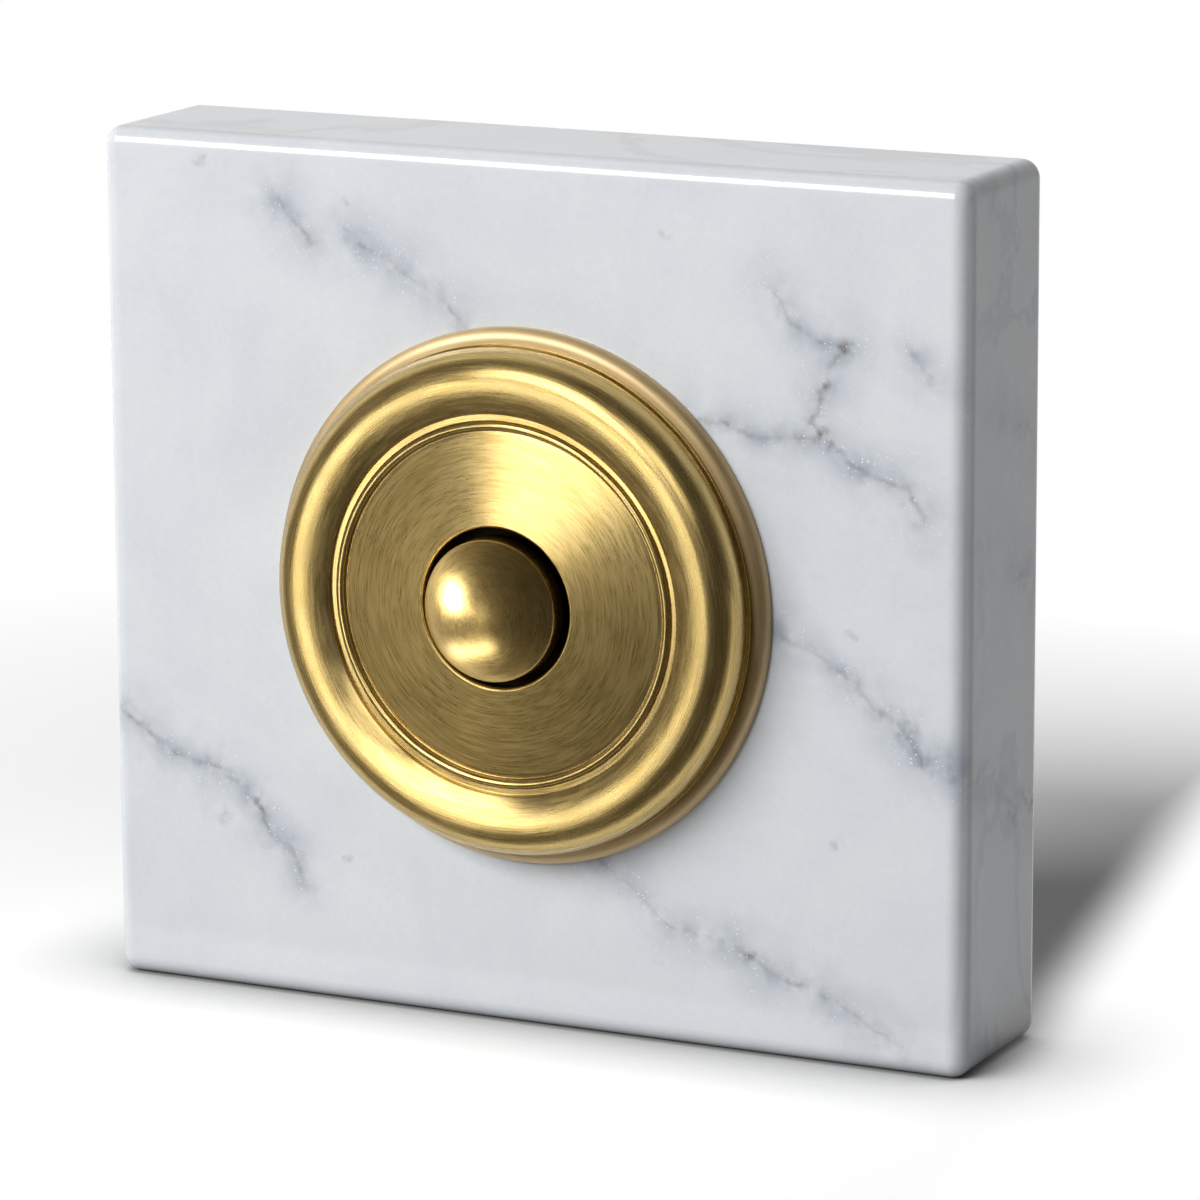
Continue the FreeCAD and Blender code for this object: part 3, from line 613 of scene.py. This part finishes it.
ring = {"flangeRadius": 28.5, "thickness": 1.6, "rimLand": 0.35, "rimRadius": 1.25, "boreRadius": 11.0,
        "collarRadius": 25.15, "collarBore": 24.0, "collarTop": 3.7, "chamfer": 0.25,
        "threadPitch": 0.6, "threadDepth": 0.28, "wallHole": 2.0, "wallSink": 3.4,
        "ownHole": 1.6, "ownSink": 2.9, "fixingCircle": 17.5, "quarterSteps": 72}


def collarThread(radius, height, angle):
    onCollar = np.abs(radius - ring["collarRadius"]) < 1e-6
    cut = threadDepth(height, angle, ring["thickness"] + 0.15, ring["collarTop"] - ring["chamfer"],
                      ring["threadPitch"], ring["threadDepth"], 0.25)
    return -cut * onCollar


def makeBaseRing():
    steps, top, collar = ring["quarterSteps"], ring["thickness"], ring["collarRadius"]
    shoulder = ring["collarTop"] - ring["chamfer"]
    rim = arc((ring["flangeRadius"] - ring["rimRadius"], ring["rimLand"]), ring["rimRadius"], 0, 90, 20)
    wall = np.linspace(top, shoulder, 60)[1:-1]
    outline = np.concatenate([
        [(ring["flangeRadius"], 0.0)], rim, [(collar + 0.05, top), (collar, top)],
        np.column_stack([np.full(len(wall), collar), wall]), [(collar, shoulder)],
        [(collar - ring["chamfer"], ring["collarTop"]), (ring["collarBore"], ring["collarTop"]),
         (ring["collarBore"], top)]])
    angle = fullTurn(steps)
    radius, height = outline[:, :1], outline[:, 1:]
    surfaces = [(place(radius + collarThread(radius, height, angle), height, angle), False, True)]
    bore = np.array([[ring["boreRadius"], top], [ring["boreRadius"], 0.0]])
    surfaces.append((place(bore[:, :1], bore[:, 1:], angle), False, True))
    for quarter in range(4):
        forWall = quarter in (0, 2)
        hole, sink = (ring["wallHole"], ring["wallSink"]) if forWall else (ring["ownHole"], ring["ownSink"])
        centre = turnFlat(np.array([[ring["fixingCircle"], 0.0]]), quarter)[0]
        above = drilledQuarter(ring["boreRadius"], ring["collarBore"], ring["fixingCircle"], sink, top,
                               quarter, steps)
        below = drilledQuarter(ring["boreRadius"], ring["flangeRadius"], ring["fixingCircle"], hole, 0,
                               quarter, steps)
        neck = ringAbout(above[0], centre, hole, top - (sink - hole))
        sunk = np.stack([above[0], neck, below[0]])
        surfaces += [(above, False, True), (below, False, True), (sunk, False, True)]
    piece = makePiece("turned_base_ring", surfaces)
    return dress(piece, polishedTurnedBrass, "base_ring", "base")


turnedRing = makeBaseRing()
print("base ring made")


# Rose cover: foot, torus, quirk, bead and coned disc outside; thread, boss and retainer groove inside

rose = {"footRadius": 26.95, "footBase": 1.65, "footTop": 2.05, "torusRadius": 2.9, "footStep": 0.15,
        "torusHeight": 3.4, "slopeRadius": 8.3, "slopeWidth": 3.75, "quirkDepth": 0.45, "quirkWidth": 0.7,
        "beadRadius": 0.5, "discDrop": 0.1, "discRise": 1.75, "holeRadius": 8.5, "holeEdge": 0.25,
        "wall": 1.4, "boreRadius": 9.4, "bossRadius": 10.6, "bossEnd": 0.355, "grooveDepth": 0.55,
        "grooveTop": 1.555, "grooveBase": 0.855, "threadPitch": 0.6, "threadDepth": 0.28, "turns": 264}
torusCircle = rose["footRadius"] - rose["footStep"] - rose["torusRadius"]
threadBore = torusCircle + rose["torusRadius"] - rose["wall"]
quirkRadius = torusCircle - rose["slopeWidth"]
slopeDrop = rose["slopeRadius"] - math.sqrt(rose["slopeRadius"] ** 2 - rose["slopeWidth"] ** 2)
crestHeight = rose["torusHeight"] + rose["torusRadius"]
quirkTop = crestHeight - slopeDrop
quirkFloor = quirkTop - rose["quirkDepth"]
beadCircle = quirkRadius - rose["quirkWidth"] - rose["beadRadius"]
discEdge = beadCircle - rose["beadRadius"] - rose["discDrop"]
discEdgeHeight = quirkFloor - rose["discDrop"]
holeHeight = discEdgeHeight + rose["discRise"]


def discHeight(radius):
    # a straight cone from the disc's edge up to the hole
    return discEdgeHeight + rose["discRise"] * (discEdge - radius) / (discEdge - rose["holeRadius"])


def coverThread(radius, height, angle):
    onBore = np.abs(radius - threadBore) < 1e-6
    return onBore * threadDepth(height, angle, rose["footBase"] + 0.1, rose["torusHeight"] - 0.1,
                                rose["threadPitch"], rose["threadDepth"], 0.25)


def makeRoseCover():
    torus, wall = (torusCircle, rose["torusHeight"]), rose["wall"]
    fall = rose["footTop"] - rose["torusHeight"]
    footAngle = math.degrees(math.asin(fall / rose["torusRadius"]))
    slopeAngle = math.degrees(math.asin(rose["slopeWidth"] / rose["slopeRadius"]))
    rimRadius = rose["holeRadius"] + rose["holeEdge"]
    rimHeight, lip = discHeight(rimRadius), holeHeight - wall
    groove = rose["boreRadius"] + rose["grooveDepth"]
    thread = np.linspace(rose["torusHeight"], rose["footBase"], 64)
    outline = easedOutline([
        (rose["footRadius"], rose["footBase"]), (rose["footRadius"], rose["footTop"]),
        arc(torus, rose["torusRadius"], footAngle, 90, 40),
        arc((torusCircle, crestHeight - rose["slopeRadius"]), rose["slopeRadius"], 90, 90 + slopeAngle, 16),
        (quirkRadius, quirkFloor), (beadCircle + rose["beadRadius"], quirkFloor),
        arc((beadCircle, quirkFloor), rose["beadRadius"], 0, 180, 18),
        (discEdge, discEdgeHeight), (rimRadius, rimHeight),
        arc((rimRadius, rimHeight - rose["holeEdge"]), rose["holeEdge"], 90, 180, 8),
        (rose["holeRadius"], lip), (rose["boreRadius"], lip),
        (rose["boreRadius"], rose["grooveTop"]), (groove, rose["grooveTop"]),
        (groove, rose["grooveBase"]), (rose["boreRadius"], rose["grooveBase"]),
        (rose["boreRadius"], rose["bossEnd"]), (rose["bossRadius"], rose["bossEnd"]),
        (rose["bossRadius"], discHeight(rose["bossRadius"]) - wall),
        (discEdge, discEdgeHeight - wall), (quirkRadius, quirkTop - wall),
        (torusCircle, crestHeight - wall), arc(torus, rose["torusRadius"] - wall, 90, 4, 14),
        np.column_stack([np.full(len(thread), threadBore), thread])])
    piece = makePiece("turned_rose_cover", [lathe(heldOutline(outline, 0.8), rose["turns"], coverThread)])
    return dress(piece, satinTurnedBrass, "rose_cover", "cover")


turnedCover = makeRoseCover()
print("rose cover made")


# Push button: one convex dome down to its edge, a guided flange and a stem

button = {"radius": 7.5, "flangeRadius": 9.3, "edgeRadius": 0.35, "edgeRise": 1.2, "domeRadius": 12.0,
          "flangeTop": 5.155, "flangeBase": 4.005, "stemRadius": 1.9, "stemEnd": -1.895,
          "spigotBore": 1.15, "spigotDepth": 3.05, "turns": 220}


def makePushButton():
    edge = (button["radius"] - button["edgeRadius"], holeHeight + button["edgeRise"])
    reach = button["domeRadius"] - button["edgeRadius"]
    drop = math.sqrt(reach ** 2 - edge[0] ** 2)
    meeting = math.degrees(math.asin(drop / reach))
    socket = button["stemEnd"] + button["spigotDepth"]
    outline = easedOutline([
        arc((0, edge[1] - drop), button["domeRadius"], 90, meeting, 48),
        arc(edge, button["edgeRadius"], meeting, 0, 8),
        (button["radius"], button["flangeTop"]), (button["flangeRadius"], button["flangeTop"]),
        (button["flangeRadius"], button["flangeBase"]), (button["stemRadius"], button["flangeBase"]),
        (button["stemRadius"], button["stemEnd"]), (button["spigotBore"], button["stemEnd"]),
        (button["spigotBore"], socket), (0, socket)])
    piece = makePiece("turned_push_button", [lathe(heldOutline(outline), button["turns"])])
    return dress(piece, satinDomeBrass, "push_button", "button")


turnedButton = makePushButton()
print("push button made")


# Return spring: a coil with closed ends

spring = {"radius": 2.6, "wire": 0.25, "turns": 6, "closedTurns": 0.9, "seat": -1.965, "top": 3.975,
          "stepsPerTurn": 40, "wireSteps": 14, "pressedShare": 4 / 6, "easeSteps": 8}


def makeReturnSpring():
    # the centre line climbs slowly in the closed end turns and evenly between them
    turns, closed, wire = spring["turns"], spring["closedTurns"], spring["wire"]
    turn = np.linspace(0, turns, turns * spring["stepsPerTurn"] + 1)
    low, high = spring["seat"] + wire, spring["top"] - wire
    lift = 2.1 * wire * closed
    height = np.interp(turn, [0, closed, turns - closed, turns], [low, low + lift, high - lift, high])
    window = 2 * spring["easeSteps"] + 1
    height = np.convolve(np.pad(height, spring["easeSteps"], mode="edge"), np.ones(window) / window, "valid")
    around = np.linspace(0, 2 * math.pi, spring["wireSteps"], endpoint=False)[None]
    size = np.concatenate([[0], np.full(len(turn), wire), [0]])[:, None]
    angle = np.pad(2 * math.pi * turn, 1, mode="edge")[:, None]
    height = np.pad(height, 1, mode="edge")[:, None]
    coil = place(spring["radius"] + size * np.cos(around), height + size * np.sin(around), angle)
    piece = makePiece("coil_return_spring", [(coil, False, True)])
    dress(piece, springSteel, "return_spring", "base")
    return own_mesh(piece)


makeReturnSpring()
print("return spring made")


# The small pieces inside keep their solids' form: each is a welded copy, so that round faces shade round

inner = {
    machinedBrass: ("plain_brass", ["ring_screw_upper", "ring_screw_lower", "insert_upper", "insert_lower",
                                    "terminal_washer_left", "terminal_washer_right", "terminal_screw_left",
                                    "terminal_screw_right", "spring_bridge", "bridge_screw_upper",
                                    "bridge_screw_lower"]),
    bronzeStrip: ("contact_bronze", ["lower_contact", "upper_contact"]),
    contactSilver: ("contact_silver", ["contact_rivet"]),
    springSteel: ("spring_steel", ["retaining_ring"]),
    brownPhenolic: ("phenolic", ["contact_block"]),
    naturalNylon: ("nylon", ["plunger_tip"]),
}


def makeInnerPieces():
    made = {}
    for material, (slotName, nodes) in inner.items():
        for node in nodes:
            solid = frame["nodes"][node]
            piece = finishPiece(node + "_piece", solid.data.copy(), 32)
            made[node] = dress(piece, material, node, solid["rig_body"])
    return made


leaf = makeInnerPieces()["upper_contact"]
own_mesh(leaf)
print("inner pieces dressed")


# Camera, stage and light

view = {"azimuth": 26.23, "elevation": 12.403, "roll": -0.29, "distance": 658.47, "focalPixels": 6356.5,
        "framePixels": 1200, "target": (8.86, -20.0, 0.43), "sensor": 36, "clipMetres": (0.05, 20)}


def towards(azimuth, elevation):
    # unit direction from the push: azimuth 0 is straight in front, positive to the right
    side, rise = math.radians(azimuth), math.radians(elevation)
    return Vector((math.sin(side) * math.cos(rise), -math.cos(side) * math.cos(rise), math.sin(rise)))


def makeCamera():
    back = towards(view["azimuth"], view["elevation"])
    camera = bpy.data.objects.new("camera", bpy.data.cameras.new("camera"))
    camera.data.sensor_width = view["sensor"]
    camera.data.lens = view["focalPixels"] / view["framePixels"] * camera.data.sensor_width
    camera.data.clip_start, camera.data.clip_end = view["clipMetres"]
    camera.location = (Vector(view["target"]) + back * view["distance"]) * mm
    roll = Quaternion((0, 0, 1), math.radians(view["roll"]))
    camera.rotation_euler = ((-back).to_track_quat("-Z", "Y") @ roll).to_euler()
    bpy.context.scene.collection.objects.link(camera)
    bpy.context.scene.camera = camera


# The floor's colour carries painted contact shade near the slab, and is painted white over the shadow beyond a
# slanting line, with the depth and far off
floorLook = {"halfSize": 3000, "tone": 0.58, "seenTone": 1.5, "clearFrom": 120, "clearTo": 220,
             "contactReach": 18, "contactFrom": 0.3, "contactShade": 0.2, "behindFrom": 95, "behindTo": 190,
             "shadowSide": (0.98, 0.196), "sideFrom": 43, "sideTo": 54}
worldFill = 0.08  # how strongly the white world lights what isn't looked at


def seenByEye(tree):
    # camera, mirror and see-through rays meet the pale background; only diffuse light meets the dim fill
    rays = addNode(tree, "LightPath", {}, {}, "Is Camera Ray").node.outputs
    seen = addNode(tree, "Math", {"operation": "ADD"}, {0: rays["Is Camera Ray"], 1: rays["Is Glossy Ray"]})
    return addNode(tree, "Math", {"operation": "ADD", "use_clamp": True},
                   {0: seen, 1: rays["Is Transmission Ray"]})


def makePanel(name, corners, material):
    # a flat stage panel from its four corners, in metres
    mesh = bpy.data.meshes.new(name)
    mesh.from_pydata([tuple(corner) for corner in corners], [], [(0, 1, 2, 3)])
    mesh.materials.append(material)
    panel = bpy.data.objects.new(name, mesh)
    bpy.context.scene.collection.objects.link(panel)
    return panel


def makeFloor():
    half, level = floorLook["halfSize"] * mm, slabLow.z
    material = bpy.data.materials.new("pale studio floor")
    tree = newTree(material)
    seen = seenByEye(tree)
    tone = addNode(tree, "MapRange", {}, {0: seen, 3: floorLook["tone"], 4: floorLook["seenTone"]})
    # painted contact shade: the floor's colour and its white both darken where ambient occlusion finds the slab
    # close by
    clearSky = addNode(tree, "AmbientOcclusion", {"samples": 8},
                       {"Distance": floorLook["contactReach"] * mm}, "AO")
    contact = addNode(tree, "MapRange", {}, {0: clearSky, 1: floorLook["contactFrom"], 2: 1.0,
                                             3: floorLook["contactShade"]})
    tone = addNode(tree, "Math", {"operation": "MULTIPLY"}, {0: tone, 1: contact})
    matt = addNode(tree, "BsdfDiffuse", {}, {"Color": tone})
    white = addNode(tree, "Emission", {}, {"Color": (1, 1, 1, 1), "Strength": contact})
    here = addNode(tree, "TexCoord", {}, {}, "Object")
    away = addNode(tree, "VectorMath", {"operation": "LENGTH"}, {0: here}, "Value")
    clear = addNode(tree, "MapRange", {}, {0: away, 1: floorLook["clearFrom"] * mm,
                                           2: floorLook["clearTo"] * mm})
    # the floor is painted white over the shadow beyond a slanting line and with the depth, which keeps the
    # shadow to the back of the slab
    back = addNode(tree, "SeparateXYZ", {}, {0: here}, "Y")
    behind = addNode(tree, "MapRange", {}, {0: back, 1: floorLook["behindFrom"] * mm,
                                            2: floorLook["behindTo"] * mm})
    beside = addNode(tree, "VectorMath", {"operation": "DOT_PRODUCT"},
                     {0: here, 1: (*floorLook["shadowSide"], 0)}, "Value")
    beside = addNode(tree, "MapRange", {"interpolation_type": "SMOOTHSTEP"},
                     {0: beside, 1: floorLook["sideFrom"] * mm, 2: floorLook["sideTo"] * mm})
    clear = addNode(tree, "Math", {"operation": "MAXIMUM"}, {0: clear, 1: behind})
    clear = addNode(tree, "Math", {"operation": "MAXIMUM"}, {0: clear, 1: beside})
    clear = addNode(tree, "Math", {"operation": "MULTIPLY"}, {0: clear, 1: seen})
    surface = addNode(tree, "MixShader", {}, {0: clear, 1: matt, 2: white})
    addNode(tree, "OutputMaterial", {}, {"Surface": surface})
    corners = [(-half, -half, level), (half, -half, level), (half, half, level), (-half, half, level)]
    makePanel("floor", corners, material)


def makeWorld():
    world = bpy.data.worlds.new("studio")
    tree = newTree(world)
    level = addNode(tree, "MapRange", {}, {0: seenByEye(tree), 3: worldFill, 4: 1.0})
    sky = addNode(tree, "Background", {}, {"Color": (1, 1, 1, 1), "Strength": level})
    addNode(tree, "OutputWorld", {}, {"Surface": sky})
    bpy.context.scene.world = world


# A lamp is (name, azimuth, elevation, distance, width, height, watts, receivers). The cover and the
# button have lamps of their own, and the big softbox lights all the rest.
softboxes = [("big softbox", -30, 29, 1200, 1000, 500, 17, "all but the cover and the button"),
             ("key softbox", -17, 17, 1200, 470, 640, 4.4, "the cover"),
             ("side softbox", 12, 20, 1200, 330, 480, 1.3, "the cover"),
             ("low softbox", -26, -9, 200, 60, 26, 0.024, "the cover and the ring"),
             ("lamp in front of the button", -26, -9, 200, 60, 26, 0.011, "the button"),
             ("lamp left of the button", -53, 0, 150, 44, 48, 0.135, "the button"),
             ("strip below the button", -43.8, -40.8, 63.5, 58, 8, 0.0102, "the button")]
# Receivers are pieces that a lamp leaves out, or the only ones that it lights
receivers = {"all but the cover and the button": ([turnedCover, turnedButton], "EXCLUDE"),
             "the cover and the ring": ([turnedCover, turnedRing], "INCLUDE"),
             "the cover": ([turnedCover], "INCLUDE"), "the button": ([turnedButton], "INCLUDE")}
# A dark curtain in front and a mat give the brass its contrast: only reflections meet them
curtain = {"radius": 1500, "azimuths": (-78, 110), "elevations": (-5, 88), "rows": 24, "columns": 40,
           "darkAt": (35, 20), "dark": 0.06, "pale": 0.2}
mat = {"left": -1200, "right": 1200, "near": 15, "far": 1200, "lift": 0.5}
aim = Vector((0, frontFace * mm, 0))


def makeSoftbox(name, azimuth, elevation, distance, width, height, watts, reach):
    back = towards(azimuth, elevation)
    light = bpy.data.lights.new(name, "AREA")
    light.shape, light.size, light.size_y, light.energy = "RECTANGLE", width * mm, height * mm, watts
    box = bpy.data.objects.new(name, light)
    box.location = aim + back * distance * mm
    box.rotation_euler = (-back).to_track_quat("-Z", "Y").to_euler()
    box.visible_camera = False
    bpy.context.scene.collection.objects.link(box)
    reached, state = receivers[reach]
    group = bpy.data.collections.new(name + " and its pieces")
    for piece in reached:
        group.objects.link(piece)
    for entry in group.collection_objects:
        entry.light_linking.link_state = state
    box.light_linking.receiver_collection = group


def darkCloth():
    # a dim glow by direction from the push, darkest on the right, where no lamp stands
    material = bpy.data.materials.new("dark studio cloth")
    tree = newTree(material)
    here = addNode(tree, "TexCoord", {}, {}, "Object")
    way = addNode(tree, "VectorMath", {"operation": "NORMALIZE"}, {0: here})
    facing = addNode(tree, "VectorMath", {"operation": "DOT_PRODUCT"},
                     {0: way, 1: towards(*curtain["darkAt"])}, "Value")
    level = addNode(tree, "MapRange", {"interpolation_type": "SMOOTHSTEP"},
                    {0: facing, 1: -0.2, 2: 0.95, 3: curtain["pale"], 4: curtain["dark"]})
    glow = addNode(tree, "Emission", {}, {"Color": fromHex("#FFF6E8"), "Strength": level})
    addNode(tree, "OutputMaterial", {}, {"Surface": glow})
    return material


def onlyReflected(cloth):
    cloth.visible_camera = cloth.visible_shadow = cloth.visible_diffuse = cloth.visible_transmission = False


def makeCurtain(material):
    # part of a sphere about the push: radius times (cos e sin a, -cos e cos a, sin e)
    rise = np.radians(np.linspace(*curtain["elevations"], curtain["rows"]))[:, None]
    turn = np.radians(np.linspace(*curtain["azimuths"], curtain["columns"]))[None]
    sphere = np.stack([np.cos(rise) * np.sin(turn), -np.cos(rise) * np.cos(turn),
                       np.sin(rise) * np.ones_like(turn)], -1) * curtain["radius"] * mm
    mesh = bpy.data.meshes.new("curtain")
    mesh.from_pydata(sphere.reshape(-1, 3), [], gridFaces(curtain["rows"], curtain["columns"], False, False))
    mesh.materials.append(material)
    cloth = bpy.data.objects.new("curtain", mesh)
    bpy.context.scene.collection.objects.link(cloth)
    onlyReflected(cloth)


def makeMat(material):
    level = slabLow.z + mat["lift"] * mm
    near, far = slabLow.y - mat["near"] * mm, slabLow.y - mat["far"] * mm
    left, right = mat["left"] * mm, mat["right"] * mm
    corners = [(left, far, level), (right, far, level), (right, near, level), (left, near, level)]
    onlyReflected(makePanel("mat", corners, material))


makeCamera()
makeFloor()
makeWorld()
studioCloth = darkCloth()
makeCurtain(studioCloth)
makeMat(studioCloth)
for softbox in softboxes:
    makeSoftbox(*softbox)
bpy.context.scene.view_settings.view_transform = "Standard"
print("camera, stage and light made")
